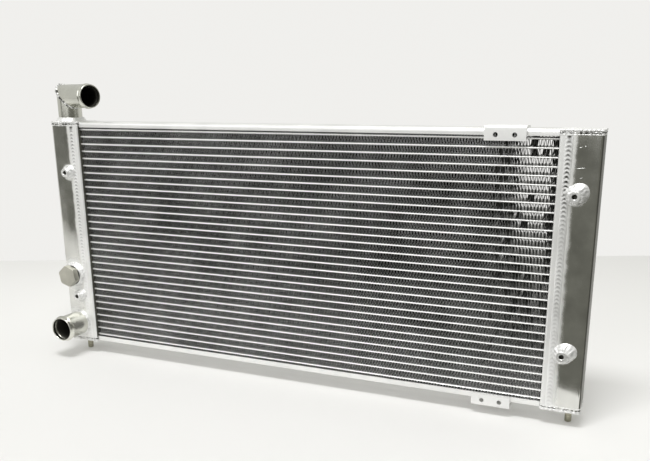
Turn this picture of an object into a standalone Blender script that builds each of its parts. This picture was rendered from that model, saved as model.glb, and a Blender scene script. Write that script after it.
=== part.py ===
"""All-aluminium crossflow car radiator, in metres, +Z up.

+X runs along the tubes towards the plain tank, -Y is the face that carries the outlet, the plug
and the threaded bosses, and z = 0 is the level of the two locating pins' tips.
"""

import math

import bmesh
import bpy
from mathutils import Vector

# Core
TUBE_COUNT = 31
TUBE_PITCH = 0.010
TUBE_THICK = 0.002
TUBE_DEPTH = 0.0316
TUBE_WALL = 0.0003
TUBE_REACH = 0.3325
CORE_MID_Z = 0.180
FIN_GAP = 0.00015
FIN_THICK = 0.0003
FIN_FRONT = -0.0160
FIN_BACK = 0.0161
FIN_REACH = 0.3245
FIN_LEGS = (-0.162, 0.0, 0.162)
END_STRIP_INSET = 0.0012
RIB_HALF = 0.0015
RIB_BACK = 0.0170
RIB_HALF_HEIGHT = 0.1525
RIB_OVERLAP = 0.00005

# Header plates and tanks
CASE_HALF_DEPTH = 0.0215
CASE_HALF_HEIGHT = 0.158
HEADER_FACE_X = 0.3253
HEADER_WALL = 0.002
HEADER_LIP = 0.0097
HEADER_BEND = 0.003
SLOT_CLEARANCE = 0.0003
TANK_FACE_X = 0.371
TANK_WALL = 0.0025
TANK_LIP = 0.0357
TANK_BEND = 0.0035
CAP_THICK = 0.0027
CAP_GAP = 0.0003
CAP_CORNER = 0.003
CAP_OVERHANG = 0.0008
PART_GAP = 0.00015
INNER_GAP = 0.0003
BAFFLE_THICK = 0.0025
BAFFLE_Z = 0.175
BAFFLE_CORNER = 0.0015

# Side channels and their brackets
CHANNEL_HALF_DEPTH = 0.0178
CHANNEL_HALF_LENGTH = 0.325
CHANNEL_WALL = 0.0015
CHANNEL_LIP = 0.008
CHANNEL_BEND = 0.004
CORE_HALF_HEIGHT = 0.161
BRACKET_X = 0.2672
BRACKET_HALF_WIDTH = 0.02325
BRACKET_FRONT = -0.0206
BRACKET_WALL = 0.0025
BRACKET_BACK = 0.006
BRACKET_BEND = 0.003
BRACKET_HOLE_SPACING = 0.0211
BRACKET_HOLE_RADIUS = 0.00275
TOP_BRACKET_LOW = 0.3272
TOP_BRACKET_HIGH = 0.3437
TOP_BRACKET_HOLE_Z = 0.3336
LOW_BRACKET_LOW = 0.0112
LOW_BRACKET_HIGH = 0.0265
LOW_BRACKET_HOLE_Z = 0.0185

# Pipes
PORT_X = -0.3535
PIPE_WALL = 0.0018
INLET_RADIUS = 0.016
INLET_Z = 0.375
INLET_LENGTH = 0.054
INLET_TURN = math.radians(-17.0)
OUTLET_RADIUS = 0.0175
OUTLET_LENGTH = 0.040
OUTLET_Z = 0.0465
BEAD_RISE = 0.0015
BEAD_HALF_WIDTH = 0.0022
BEAD_FROM_MOUTH = 0.006
MITRE_GAP = 0.00015

# Plug and its seat
PLUG_Z = 0.121
SEAT_WELD_RADIUS = 0.0172
SEAT_RADIUS = 0.0150
SEAT_BORE = 0.0113
SEAT_HEIGHT = 0.0072
WASHER_RADIUS = 0.0145
WASHER_THICK = 0.0015
SHANK_RADIUS = 0.0110
SHANK_LENGTH = 0.0120
HEX_FLATS = 0.027
HEX_HEIGHT = 0.0090
HEX_TURN = math.radians(41.7)
SHELL_PLUG_HOLE = 0.0118
HEX_CHAMFER = 0.0012

# Threaded bosses and locating pins
BOSS_X = 0.3465
BOSS_RISE = 0.0905
BOSS_RADIUS = 0.0061
BOSS_WELD_RADIUS = 0.0115
BOSS_HEIGHT = 0.0100
BOSS_HOLE = 0.0027
BOSS_HOLE_DEPTH = 0.0085
WELD_TOE = 0.0018
WELD_TOP = 0.0042
PIN_X = 0.357
PIN_RADIUS = 0.004
PIN_CHAMFER = 0.0008

# How finely round work is divided, and how far a cutter runs past the metal it cuts
ROUND = 32
FINE_ROUND = 40
BOSS_ROUND = 20
PIN_ROUND = 24
CUT_PAST = 0.002
SHELL_CUT = 0.006

# name: colour, metallic, roughness
FINISHES = {
    "tube": ((0.86, 0.86, 0.85), 1.0, 0.32),
    "fin": ((0.62, 0.62, 0.61), 1.0, 0.38),
    "sheet": ((0.74, 0.74, 0.73), 1.0, 0.28),
    "bracket": ((0.80, 0.80, 0.79), 1.0, 0.45),
    "pipe": ((0.78, 0.78, 0.76), 1.0, 0.22),
    "boss": ((0.88, 0.88, 0.86), 1.0, 0.40),
    "plug": ((0.66, 0.66, 0.60), 1.0, 0.36),
    "washer": ((0.03, 0.03, 0.03), 0.0, 0.60),
    "pin": ((0.60, 0.60, 0.55), 1.0, 0.34),
}


def clear_scene():
    for obj in list(bpy.data.objects):
        bpy.data.objects.remove(obj, do_unlink=True)


def new_collection(name):
    made = bpy.data.collections.new(name)
    bpy.context.scene.collection.children.link(made)
    return made


def new_material(name, finish):
    colour, metallic, roughness = FINISHES[finish]
    made = bpy.data.materials.new(name)
    made.use_nodes = True
    shader = made.node_tree.nodes["Principled BSDF"]
    shader.inputs["Base Color"].default_value = (*colour, 1.0)
    shader.inputs["Metallic"].default_value = metallic
    shader.inputs["Roughness"].default_value = roughness
    return made


def add_solid(name, points, faces, finish=None, location=(0, 0, 0)):
    """A closed mesh facing out: a part when it has a finish, a hidden cutter when it has none."""
    mesh = bpy.data.meshes.new(name)
    mesh.from_pydata([tuple(point) for point in points], [], faces)
    work = bmesh.new()
    work.from_mesh(mesh)
    bmesh.ops.recalc_face_normals(work, faces=work.faces)
    work.to_mesh(mesh)
    work.free()
    obj = bpy.data.objects.new(name, mesh)
    obj.location = location
    if finish:
        mesh.materials.append(new_material(name, finish))
        PARTS.objects.link(obj)
    else:
        CUTTERS.objects.link(obj)
        obj.hide_render = True
        obj.display_type = "WIRE"
    return obj


def cut(obj, cutter, operation="DIFFERENCE"):
    step = obj.modifiers.new(cutter.name, "BOOLEAN")
    step.operation = operation
    step.solver = "EXACT"
    step.object = cutter


def prism(outline, low, high, place):
    """Points and faces of an outline swept from low to high; place(u, v, w) gives the position."""
    count = len(outline)
    points = [place(u, v, w) for w in (low, high) for u, v in outline]
    faces = [tuple(range(count)), tuple(range(count, 2 * count))]
    for i in range(count):
        j = (i + 1) % count
        faces.append((i, j, count + j, count + i))
    return points, faces


def along_x(u, v, w):
    return (w, u, v)


def along_y(u, v, w):
    return (u, w, v)


def along_z(u, v, w):
    return (u, v, w)


def arc(centre, radius, start, end, steps):
    angles = [math.radians(start + (end - start) * i / steps) for i in range(steps + 1)]
    return [(centre[0] + radius * math.cos(a), centre[1] + radius * math.sin(a)) for a in angles]


def stadium(centre_v, half_u, half_v, steps):
    """A flat oval: straight along u, round at both ends."""
    flat = half_u - half_v
    right = arc((flat, centre_v), half_v, -90, 90, steps)
    left = arc((-flat, centre_v), half_v, 90, 270, steps)
    return right + left


def rounded_rectangle(low, high, radius, steps=3):
    corners = (
        ((high[0] - radius, low[1] + radius), -90),
        ((high[0] - radius, high[1] - radius), 0),
        ((low[0] + radius, high[1] - radius), 90),
        ((low[0] + radius, low[1] + radius), 180),
    )
    points = []
    for centre, start in corners:
        points += arc(centre, radius, start, start + 90, steps)
    return points


def channel_outline(half, lip, wall, bend, steps=3):
    """A folded U: its web's outer face is at v = 0 and its lips run to v = lip."""
    outer = [(-half, lip)]
    outer += arc((bend - half, bend), bend, 180, 270, steps)
    outer += arc((half - bend, bend), bend, 270, 360, steps)
    outer.append((half, lip))
    inner = [(half - wall, lip)]
    inner += arc((half - bend, bend), bend - wall, 360, 270, steps)
    inner += arc((bend - half, bend), bend - wall, 270, 180, steps)
    inner.append((wall - half, lip))
    return outer + inner


def angle_outline(reach, height, wall, bend, steps=3):
    """A folded L: its corner's outer faces are at u = 0 and v = 0."""
    outer = [(0.0, height)] + arc((bend, bend), bend, 180, 270, steps) + [(reach, 0.0)]
    inner = [(reach, wall)] + arc((bend, bend), bend - wall, 270, 180, steps) + [(wall, height)]
    return outer + inner


def loft(rings, closed):
    """Points and faces through equal rings; closed joins the last to the first, else ends are capped."""
    count = len(rings[0])
    points = [point for ring in rings for point in ring]
    faces = []
    for k in range(len(rings) if closed else len(rings) - 1):
        a = k * count
        b = ((k + 1) % len(rings)) * count
        for i in range(count):
            j = (i + 1) % count
            faces.append((a + i, a + j, b + j, b + i))
    if not closed:
        faces.append(tuple(range(count)))
        faces.append(tuple(range(len(points) - count, len(points))))
    return points, faces


def turned(profile, axis, segments, closed=True):
    """A profile of (radius, distance) turned round axis, which starts at the local origin."""
    turn = Vector((0, 0, 1)).rotation_difference(Vector(axis)).to_matrix()
    rings = []
    for radius, distance in profile:
        ring = arc((0, 0), radius, 0, 360 * (segments - 1) / segments, segments - 1)
        rings.append([turn @ Vector((u, v, distance)) for u, v in ring])
    return loft(rings, closed)


def beaded_end(radius, mouth):
    """Outer then inner profile points of a hose end, with its bead raised from the wall."""
    centre = mouth - BEAD_FROM_MOUTH
    crest = BEAD_HALF_WIDTH / 2
    return [
        (radius, centre - BEAD_HALF_WIDTH),
        (radius + BEAD_RISE, centre - crest),
        (radius + BEAD_RISE, centre + crest),
        (radius, centre + BEAD_HALF_WIDTH),
        (radius, mouth),
        (radius - PIPE_WALL, mouth),
    ]


def ribbon_outline(path, thick):
    """Both sides of a thin strip bent along path, mitred at each corner."""
    left, right = [], []
    for i, (x, z) in enumerate(path):
        before = Vector(path[i]) - Vector(path[i - 1]) if i else Vector(path[1]) - Vector(path[0])
        after = Vector(path[i + 1]) - Vector(path[i]) if i + 1 < len(path) else before
        first = Vector((-before.y, before.x)).normalized()
        second = Vector((-after.y, after.x)).normalized()
        shift = (first + second) / (1 + first.dot(second)) * (thick / 2)
        left.append((x + shift.x, z + shift.y))
        right.append((x - shift.x, z - shift.y))
    return left + right[::-1]


def tube_z(index):
    return CORE_MID_Z + TUBE_PITCH * ((TUBE_COUNT - 1) / 2 - index)


def build_tubes():
    outer = stadium(0.0, TUBE_DEPTH / 2, TUBE_THICK / 2, 4)
    inner = stadium(0.0, TUBE_DEPTH / 2 - TUBE_WALL, TUBE_THICK / 2 - TUBE_WALL, 4)
    stations = ((outer, -TUBE_REACH), (outer, TUBE_REACH), (inner, TUBE_REACH), (inner, -TUBE_REACH))
    rings = [[(x, u, v) for u, v in outline] for outline, x in stations]
    for index in range(TUBE_COUNT):
        points, faces = loft(rings, closed=True)
        add_solid(f"tube_{index + 1:02d}", points, faces, "tube", (0, 0, tube_z(index)))


def fin_path(low, high):
    """A square wave that steps from the lower tube to the upper one and back at each leg."""
    path = [(-FIN_REACH, low)]
    level = low
    for x in FIN_LEGS:
        path.append((x, level))
        level = high if level == low else low
        path.append((x, level))
    path.append((FIN_REACH, level))
    return path


def build_fins():
    """The 32 fin strips, tied at the back by one thin rib that stands for their brazing."""
    points, faces = [], []
    inset = TUBE_THICK / 2 + FIN_GAP + FIN_THICK / 2
    for index in range(TUBE_COUNT + 1):
        middle = tube_z(index) + TUBE_PITCH / 2
        half = TUBE_PITCH / 2 - inset
        low = middle - half + (END_STRIP_INSET if index == TUBE_COUNT else 0.0)
        high = middle + half - (END_STRIP_INSET if index == 0 else 0.0)
        outline = ribbon_outline(fin_path(low, high), FIN_THICK)
        more, sides = prism(outline, FIN_FRONT, FIN_BACK, along_y)
        faces += [tuple(i + len(points) for i in side) for side in sides]
        points += more
    pack = add_solid("fin_pack", points, faces, "fin")
    low = CORE_MID_Z - RIB_HALF_HEIGHT
    high = CORE_MID_Z + RIB_HALF_HEIGHT
    outline = [(-RIB_HALF, low), (RIB_HALF, low), (RIB_HALF, high), (-RIB_HALF, high)]
    rib = add_solid("fin_rib", *prism(outline, FIN_BACK - RIB_OVERLAP, RIB_BACK, along_y))
    cut(pack, rib, "UNION")


def build_header(side, name):
    outline = channel_outline(CASE_HALF_DEPTH, HEADER_LIP, HEADER_WALL, HEADER_BEND)
    low = CORE_MID_Z - CASE_HALF_HEIGHT
    high = CORE_MID_Z + CASE_HALF_HEIGHT
    plate = prism(outline, low, high, lambda u, v, w: (side * (HEADER_FACE_X + v), u, w))
    header = add_solid(f"header_{name}", *plate, "sheet")
    points, faces = [], []
    half_u = TUBE_DEPTH / 2 + SLOT_CLEARANCE
    half_v = TUBE_THICK / 2 + SLOT_CLEARANCE
    near = HEADER_FACE_X - CUT_PAST
    far = HEADER_FACE_X + HEADER_WALL + CUT_PAST
    for index in range(TUBE_COUNT):
        slot = stadium(tube_z(index), half_u, half_v, 3)
        more, sides = prism(slot, side * near, side * far, along_x)
        faces += [tuple(i + len(points) for i in face) for face in sides]
        points += more
    cut(header, add_solid(f"slots_{name}", points, faces))


def round_cutter(name, radius, start, end, location, axis):
    solid = turned([(radius, start), (radius, end)], axis, ROUND, False)
    return add_solid(name, *solid, location=location)


def build_tank(side, name):
    outline = channel_outline(CASE_HALF_DEPTH, TANK_LIP, TANK_WALL, TANK_BEND)
    low = CORE_MID_Z - CASE_HALF_HEIGHT
    high = CORE_MID_Z + CASE_HALF_HEIGHT
    shell = prism(outline, low, high, lambda u, v, w: (side * (TANK_FACE_X - v), u, w))
    return add_solid(f"tank_{name}", *shell, "sheet")


def build_caps(side, name):
    near = side * HEADER_FACE_X
    far = side * (TANK_FACE_X + CAP_OVERHANG)
    half_depth = CASE_HALF_DEPTH + CAP_OVERHANG
    low = (min(near, far), -half_depth)
    high = (max(near, far), half_depth)
    outline = rounded_rectangle(low, high, CAP_CORNER)
    inner = CASE_HALF_HEIGHT + CAP_GAP
    outer = inner + CAP_THICK
    top = prism(outline, CORE_MID_Z + inner, CORE_MID_Z + outer, along_z)
    bottom = prism(outline, CORE_MID_Z - outer, CORE_MID_Z - inner, along_z)
    add_solid(f"cap_{name}_bottom", *bottom, "sheet")
    return add_solid(f"cap_{name}_top", *top, "sheet")


def build_baffle():
    near = -HEADER_FACE_X - HEADER_WALL - INNER_GAP
    far = -TANK_FACE_X + TANK_WALL + INNER_GAP
    half = CASE_HALF_DEPTH - TANK_WALL - INNER_GAP
    outline = rounded_rectangle((far, -half), (near, half), BAFFLE_CORNER)
    low = BAFFLE_Z - BAFFLE_THICK / 2
    add_solid("baffle", *prism(outline, low, low + BAFFLE_THICK, along_z), "sheet")


def build_channels():
    outline = channel_outline(CHANNEL_HALF_DEPTH, CHANNEL_LIP, CHANNEL_WALL, CHANNEL_BEND)
    for name, sign in (("top", 1), ("bottom", -1)):
        web = CORE_MID_Z + sign * CORE_HALF_HEIGHT

        def place(u, v, w, web=web, sign=sign):
            return (w, u, web - sign * v)

        bar = prism(outline, -CHANNEL_HALF_LENGTH, CHANNEL_HALF_LENGTH, place)
        add_solid(f"side_channel_{name}", *bar, "sheet")


def build_bracket(name, low, high, hole_z, ledge_up):
    """A folded angle with two holes: its ledge is the upper or the lower edge of the front plate."""
    outline = angle_outline(BRACKET_BACK - BRACKET_FRONT, high - low, BRACKET_WALL, BRACKET_BEND)

    def place(u, v, w):
        return (w, BRACKET_FRONT + u, high - v if ledge_up else low + v)

    ends = (BRACKET_X - BRACKET_HALF_WIDTH, BRACKET_X + BRACKET_HALF_WIDTH)
    bracket = add_solid(f"bracket_{name}", *prism(outline, *ends, place), "bracket")
    for number, step in enumerate((-0.5, 0.5), 1):
        centre = (BRACKET_X + step * BRACKET_HOLE_SPACING, BRACKET_FRONT, hole_z)
        reach = 2 * BRACKET_WALL
        hole = f"hole_{name}_{number}"
        cut(bracket, round_cutter(hole, BRACKET_HOLE_RADIUS, -reach, reach, centre, (0, 1, 0)))


def build_inlet(cap):
    """A stub on the tank's top, mitred to a hose pipe that runs along the core and a little forward."""
    flow = Vector((math.cos(INLET_TURN), math.sin(INLET_TURN), 0.0))
    up = Vector((0.0, 0.0, 1.0))
    across = up.cross(flow)
    corner = Vector((PORT_X, 0.0, INLET_Z))
    base = CORE_MID_Z + CASE_HALF_HEIGHT + CAP_GAP + CAP_THICK + PART_GAP - INLET_Z
    bore = INLET_RADIUS - PIPE_WALL

    def ring(radius, distance, axis, lean, mitred):
        points = []
        for u, v in arc((0, 0), radius, 0, 360 * (ROUND - 1) / ROUND, ROUND - 1):
            along = -u + distance if mitred else distance
            points.append(u * lean + v * across + along * axis)
        return points

    stub = [
        ring(INLET_RADIUS, base, up, flow, False),
        ring(INLET_RADIUS, -MITRE_GAP, up, flow, True),
        ring(bore, -MITRE_GAP, up, flow, True),
        ring(bore, base, up, flow, False),
    ]
    add_solid("inlet_stub", *loft(stub, True), "pipe", corner)
    pipe = [ring(INLET_RADIUS, MITRE_GAP, flow, up, True)]
    pipe += [ring(r, d, flow, up, False) for r, d in beaded_end(INLET_RADIUS, INLET_LENGTH)]
    pipe.append(ring(bore, MITRE_GAP, flow, up, True))
    add_solid("inlet_pipe", *loft(pipe, True), "pipe", corner)
    opening = (PORT_X, 0.0, CORE_MID_Z + CASE_HALF_HEIGHT)
    cut(cap, round_cutter("hole_inlet", bore, -CUT_PAST, SHELL_CUT, opening, (0, 0, 1)))


def build_outlet(tank):
    face = (PORT_X, -CASE_HALF_DEPTH, OUTLET_Z)
    bore = OUTLET_RADIUS - PIPE_WALL
    profile = [(OUTLET_RADIUS, PART_GAP)]
    profile += beaded_end(OUTLET_RADIUS, OUTLET_LENGTH)
    profile.append((bore, PART_GAP))
    add_solid("outlet_pipe", *turned(profile, (0, -1, 0), ROUND), "pipe", face)
    mouth = round_cutter("hole_outlet", bore - 0.001, -SHELL_CUT, SHELL_CUT, face, (0, 1, 0))
    cut(tank, mouth)


def build_plug(tank):
    """The welded seat, its sealing washer and the hex plug that screws in towards +Y."""
    face = (PORT_X, -CASE_HALF_DEPTH, PLUG_Z)
    out = (0, -1, 0)
    seat = [
        (SEAT_WELD_RADIUS, PART_GAP),
        (SEAT_WELD_RADIUS - 0.0007, 0.0012),
        (SEAT_RADIUS, 0.0030),
        (SEAT_RADIUS, SEAT_HEIGHT),
        (SEAT_BORE, SEAT_HEIGHT),
        (SEAT_BORE, PART_GAP),
    ]
    add_solid("plug_seat", *turned(seat, out, FINE_ROUND), "boss", face)
    low = SEAT_HEIGHT + PART_GAP
    high = low + WASHER_THICK
    ring = [(WASHER_RADIUS, low), (WASHER_RADIUS, high), (SEAT_BORE, high), (SEAT_BORE, low)]
    add_solid("plug_washer", *turned(ring, out, FINE_ROUND), "washer", face)
    head = high + PART_GAP
    shank = [(SHANK_RADIUS - 0.001, head - SHANK_LENGTH), (SHANK_RADIUS, head - SHANK_LENGTH + 0.001)]
    shank.append((SHANK_RADIUS, head + 0.001))
    plug = add_solid("hex_plug", *turned(shank, out, FINE_ROUND, False), "plug", face)
    corner = HEX_FLATS / 2 / math.cos(math.pi / 6)
    turns = [HEX_TURN + math.radians(60 * k) for k in range(6)]
    hexagon = [(corner * math.cos(a), corner * math.sin(a)) for a in turns]
    block = add_solid("hex_block", *prism(hexagon, -head, -head - HEX_HEIGHT, along_y), location=face)
    chamfer = [
        (corner - 0.0005, head - 0.001),
        (corner + 0.0005, head + 0.001),
        (corner + 0.0005, head + HEX_HEIGHT - HEX_CHAMFER),
        (corner - 0.0016, head + HEX_HEIGHT + 0.0004),
    ]
    lathe = add_solid("hex_chamfer", *turned(chamfer, out, FINE_ROUND, False), location=face)
    cut(block, lathe, "INTERSECT")
    cut(plug, block, "UNION")
    opening = round_cutter("hole_plug", SHELL_PLUG_HOLE, -SHELL_CUT, SHELL_CUT, face, (0, 1, 0))
    cut(tank, opening)


def build_bosses():
    profile = [
        (BOSS_WELD_RADIUS, PART_GAP),
        (BOSS_WELD_RADIUS - 0.0012, WELD_TOE),
        (BOSS_RADIUS + 0.0008, WELD_TOP),
        (BOSS_RADIUS, WELD_TOP + 0.0013),
        (BOSS_RADIUS, BOSS_HEIGHT),
        (BOSS_HOLE, BOSS_HEIGHT),
        (BOSS_HOLE, BOSS_HEIGHT - BOSS_HOLE_DEPTH),
    ]
    for side, name in ((-1, "left"), (1, "right")):
        for rise, level in ((1, "top"), (-1, "bottom")):
            place = (side * BOSS_X, -CASE_HALF_DEPTH, CORE_MID_Z + rise * BOSS_RISE)
            solid = turned(profile, (0, -1, 0), BOSS_ROUND, False)
            add_solid(f"boss_{name}_{level}", *solid, "boss", place)


def build_pins():
    top = CORE_MID_Z - CASE_HALF_HEIGHT - CAP_GAP - CAP_THICK - PART_GAP
    profile = [(PIN_RADIUS - PIN_CHAMFER, 0.0), (PIN_RADIUS, PIN_CHAMFER), (PIN_RADIUS, top)]
    for side, name in ((-1, "left"), (1, "right")):
        solid = turned(profile, (0, 0, 1), PIN_ROUND, False)
        add_solid(f"pin_{name}", *solid, "pin", (side * PIN_X, 0.0, 0.0))


clear_scene()
PARTS = new_collection("car_radiator")
CUTTERS = new_collection("cutters")
build_tubes()
build_fins()
left_tank = build_tank(-1, "left")
build_tank(1, "right")
build_header(-1, "left")
build_header(1, "right")
left_cap = build_caps(-1, "left")
build_caps(1, "right")
build_baffle()
build_channels()
build_bracket("top", TOP_BRACKET_LOW, TOP_BRACKET_HIGH, TOP_BRACKET_HOLE_Z, True)
build_bracket("bottom", LOW_BRACKET_LOW, LOW_BRACKET_HIGH, LOW_BRACKET_HOLE_Z, False)
build_inlet(left_cap)
build_outlet(left_tank)
build_plug(left_tank)
build_bosses()
build_pins()
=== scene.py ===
"""Looks of the all-aluminium crossflow radiator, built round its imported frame.

The CAD nodes hold the sizes. Each visible one is replaced by a finer piece in the same place: rolled
bends, louvred fins, threads and weld beads. Tubes and the baffle keep their CAD shape.
"""

import math

import bmesh
import bpy
import numpy as np
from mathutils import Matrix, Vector, noise


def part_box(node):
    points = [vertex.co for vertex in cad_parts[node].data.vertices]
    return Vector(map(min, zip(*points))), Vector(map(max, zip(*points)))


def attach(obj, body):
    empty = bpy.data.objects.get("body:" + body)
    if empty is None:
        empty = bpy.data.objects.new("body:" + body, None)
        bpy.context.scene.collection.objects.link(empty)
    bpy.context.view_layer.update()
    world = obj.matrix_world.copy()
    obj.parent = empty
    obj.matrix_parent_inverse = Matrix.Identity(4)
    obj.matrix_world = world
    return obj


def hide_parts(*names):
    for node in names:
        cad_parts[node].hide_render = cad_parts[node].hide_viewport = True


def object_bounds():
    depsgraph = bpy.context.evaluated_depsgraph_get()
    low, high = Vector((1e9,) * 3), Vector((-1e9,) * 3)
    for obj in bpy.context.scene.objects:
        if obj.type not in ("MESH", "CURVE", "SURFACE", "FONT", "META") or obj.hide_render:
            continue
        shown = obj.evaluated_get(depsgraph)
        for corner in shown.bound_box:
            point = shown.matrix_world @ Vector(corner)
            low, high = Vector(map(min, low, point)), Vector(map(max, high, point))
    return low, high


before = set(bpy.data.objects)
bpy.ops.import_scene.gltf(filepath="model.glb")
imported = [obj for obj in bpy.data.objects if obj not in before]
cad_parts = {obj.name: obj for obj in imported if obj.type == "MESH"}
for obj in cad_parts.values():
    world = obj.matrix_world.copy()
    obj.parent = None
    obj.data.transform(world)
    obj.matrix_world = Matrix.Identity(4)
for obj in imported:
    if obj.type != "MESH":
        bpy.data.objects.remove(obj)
cad_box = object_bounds()

# Sheet metal
SHEET_WALL = 0.0025
HEADER_WALL = 0.002
HEADER_BEND = 0.003
TANK_BEND = 0.0035
CHANNEL_WALL = 0.0015
CHANNEL_BEND = 0.004
BRACKET_WALL = 0.0025
BRACKET_BEND = 0.003
BRACKET_HOLE_SPACING = 0.0211
BRACKET_HOLE_RADIUS = 0.00275
BRACKET_HOLE_BELOW_LEDGE = 0.0101
BRACKET_HOLE_ABOVE_LEDGE = 0.0073
BEND_STEPS = 8
CAP_OVERHANG = 0.0008
CAP_CORNER = 0.003
CAP_CORNER_STEPS = 6
BRACKET_CUT = (-0.008, 0.004)
PORT_CUT = (-0.006, 0.006)
INLET_CUT = (-0.004, 0.008)
HOLE_STEPS = 64

# Tubes and fins
TUBE_COUNT = 31
TUBE_HALF_THICK = 0.001
SLOT_CLEARANCE = 0.0003
FIN_PERIOD = 0.0037
ROW_PITCH = 0.010
CREST_RADIUS = 0.0005
CREST_STEPS = 4
FIN_SET_BACK = 0.0004
FIN_EDGE = 0.00024
FILLET_HALF = 0.0006
FILLET_RISE = 0.0005
FILLET_PROUD = 0.0003
CREST_INNER = 0.0002
FIN_MARGIN = 0.12
FLAT_END = 0.0020
FLAT_MIDDLE = 0.0024
LOUVRES_PER_BANK = 6
LOUVRE_ANGLE = math.radians(16)
FIN_LEAN = 0.06
FIN_SHEAR = 0.0043
SHEAR_GROWS = (0.232, 0.294)
SHEAR_ENDS = (0.312, 0.323)
SHEAR_ROWS = (2, 22)
SHEAR_BLOCK = 0.0065
SHEAR_SPARED = 0.38
# Painted shade on the fins: the share of dark fins grows over these x and z limits, up to SHADE_MOST
SHADE_GROWS = (0.252, 0.296)
SHADE_RISES = (0.07, 0.22)
SHADE_MOST = 0.9
SHADE_MIX = (12.9898, 78.233, 437.585)
STRIPS_PER_PIECE = 4

# Pipes
PIPE_WALL = 0.0018
PIPE_STEPS = 96
INLET_RADIUS = 0.016
INLET_LENGTH = 0.054
INLET_TURN = math.radians(-17.0)
OUTLET_RADIUS = 0.0175
BEAD_RISE = 0.0015
INLET_BEAD = 0.0009
BEAD_HALF_WIDTH = 0.0022
BEAD_FROM_MOUTH = 0.006
BEAD_STEPS = 12
BEAD_INSIDE = 0.8
LIP_STEPS = 8
MITRE_GAP = 0.0001
MITRE_STEPS = 180
MITRE_SUNK = 0.0006
# How far in from each mouth the painted shade of the bore stops
INLET_RIM_UNSHADED = 0.0001
OUTLET_RIM_UNSHADED = 0.0045

# Plug, seat and washer
SEAT_RADIUS = 0.0150
SEAT_BORE = 0.0113
SHANK_RADIUS = 0.0110
SHANK_PITCH = 0.0015
HEX_FLATS = 0.027
HEX_TURN = math.radians(41.7)
HEX_CHAMFER = 0.0011
SEAT_CHAMFER = 0.0006
THREAD_DEPTH = 0.0006
SEAL_EDGE = 0.00045
HEAD_GAP = 0.00015

# Bosses and pins
BOSS_RADIUS = 0.0061
BOSS_HOLE = 0.0027
BOSS_HOLE_DEPTH = 0.0085
BOSS_PITCH = 0.001
PIN_RADIUS = 0.004
PIN_CHAMFER = 0.0008
BOSS_CHAMFER = 0.0004
BOSS_THREAD_DEPTH = 0.0005

# Welds
# Weld beads round the caps; their darkening is painted shade in the hollows, with patches of soot. The
# second bead is painted shadow: a dark band below the cap's edge
CAP_WELD = {"radius": 0.00135, "pitch": 0.0044, "proud": 0.0007, "lumps": 0.42, "soot_and_shade_amount": 0.25}
CAP_SHADOW = {"radius": 0.0010, "pitch": 0.0050, "proud": 0.0003, "lumps": 0.7, "soot_and_shade_amount": 2.6}
CAP_TOE = {"radius": 0.0009, "pitch": 0.0037, "proud": 0.0003, "lumps": 0.35, "soot_and_shade_amount": 0.1}
CAP_SHADOW_BELOW = 0.0009
CAP_TOE_BELOW = 0.0028
CAP_BEAD_STEP = 0.0005
CAP_BEAD_WANDER = 0.00035
CAP_BEAD_SHARE = 0.86
BRACKET_WELD_IN = 0.0006
BRACKET_WELD_LIFT = 0.0004
BRACKET_WELD_START = 0.002
BRACKET_WELD_RUN = 0.018
BRACKET_WELD_STEPS = 36
SEAM_HALF_WIDTH = 0.0043
SEAM_HEIGHT = 0.0007
SEAM_PITCH = 0.0047
SEAM_ARCH = 0.0042
SEAM_ROW = 0.00035
SEAM_ACROSS = 20
SEAM_CRATER = 0.007
SEAM_TAPER = 0.003
SEAM_ENDS = (0.003, 0.004)
SEAM_OUTWARD = 0.0006
SEAM_BROW = (0.42, 0.66)
SEAM_FINE = 0.00008
SEAM_SOOT_AND_SHADE = {"left": 0.6, "right": 1.15}
COLLAR_STEPS = 180
COLLAR_SHARES = (0.0, 0.04, 0.10, 0.18, 0.28, 0.39, 0.50, 0.61, 0.72, 0.82, 0.91, 1.0)
COLLAR_SCALLOP = 0.00016
COLLAR_LUMP = 0.0009
COLLAR_LUMP_RATE = 330
ROPE_SIDES = 12
ROPE_LUMP_RATE = 260
ROPE_SOOT_RATE = 230
SUNK = 0.0004
BOX_SPARE = 0.00002
# The weld darkening colour: painted shade in grooves and hollows, with patches of soot
SOOT_AND_SHADE_COLOUR = (0.035, 0.034, 0.028)
BOSS_WELD_TOE = {"left": 0.0100, "right": 0.0118}
BOSS_WELD_SWELL = {"left": 0.0014, "right": 0.0050}

# Marks on the plain tank's face: in from its inner edge, below its top, length, radius
MARKS = (
    (0.0115, 0.0165, 0.0026, 0.00045),
    (0.0168, 0.0152, 0.0012, 0.00055),
    (0.0096, 0.0382, 0.0098, 0.00030),
    (0.0140, 0.0485, 0.0030, 0.00022),
)
MARK_STEPS = 8
MARK_RISE = 0.0008
MARK_SUNK = 0.6
MARK_PITCH = 0.0011

# How squarely a face must look along an axis to take a piece's second look
END_FACING = 0.93
BEND_FACING = 0.5
EDGE_FACING = 0.99

# Metal
GRAIN_SCALE = 20.0
PATCH_SCALE = 26.0
PATCH_EDGES = (0.35, 0.65)
ROUGHNESS_EDGES = (0.7, 1.3)
LEAST_ROUGHNESS = 0.02
GRAIN_DEPTH = 0.0002
PIT_SCALE = 900.0
PIT_DEPTH = 0.0004
FROST_SCALE = 120.0

# Where welding heat has frosted the sheet: full at the first distance, none at the second
SEAM_FROST = (0.3425, 0.3490)
BOSS_FROST = (0.0110, 0.0165)
CAP_FROST = (0.1565, 0.1535)
PORT_FROST = (0.0230, 0.0300)
FROST_STRAY = 0.0045
FROST_COLOUR = (0.90, 0.90, 0.88)
FROST_ROUGHNESS = 0.52
FROST_DULL = 0.45

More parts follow.
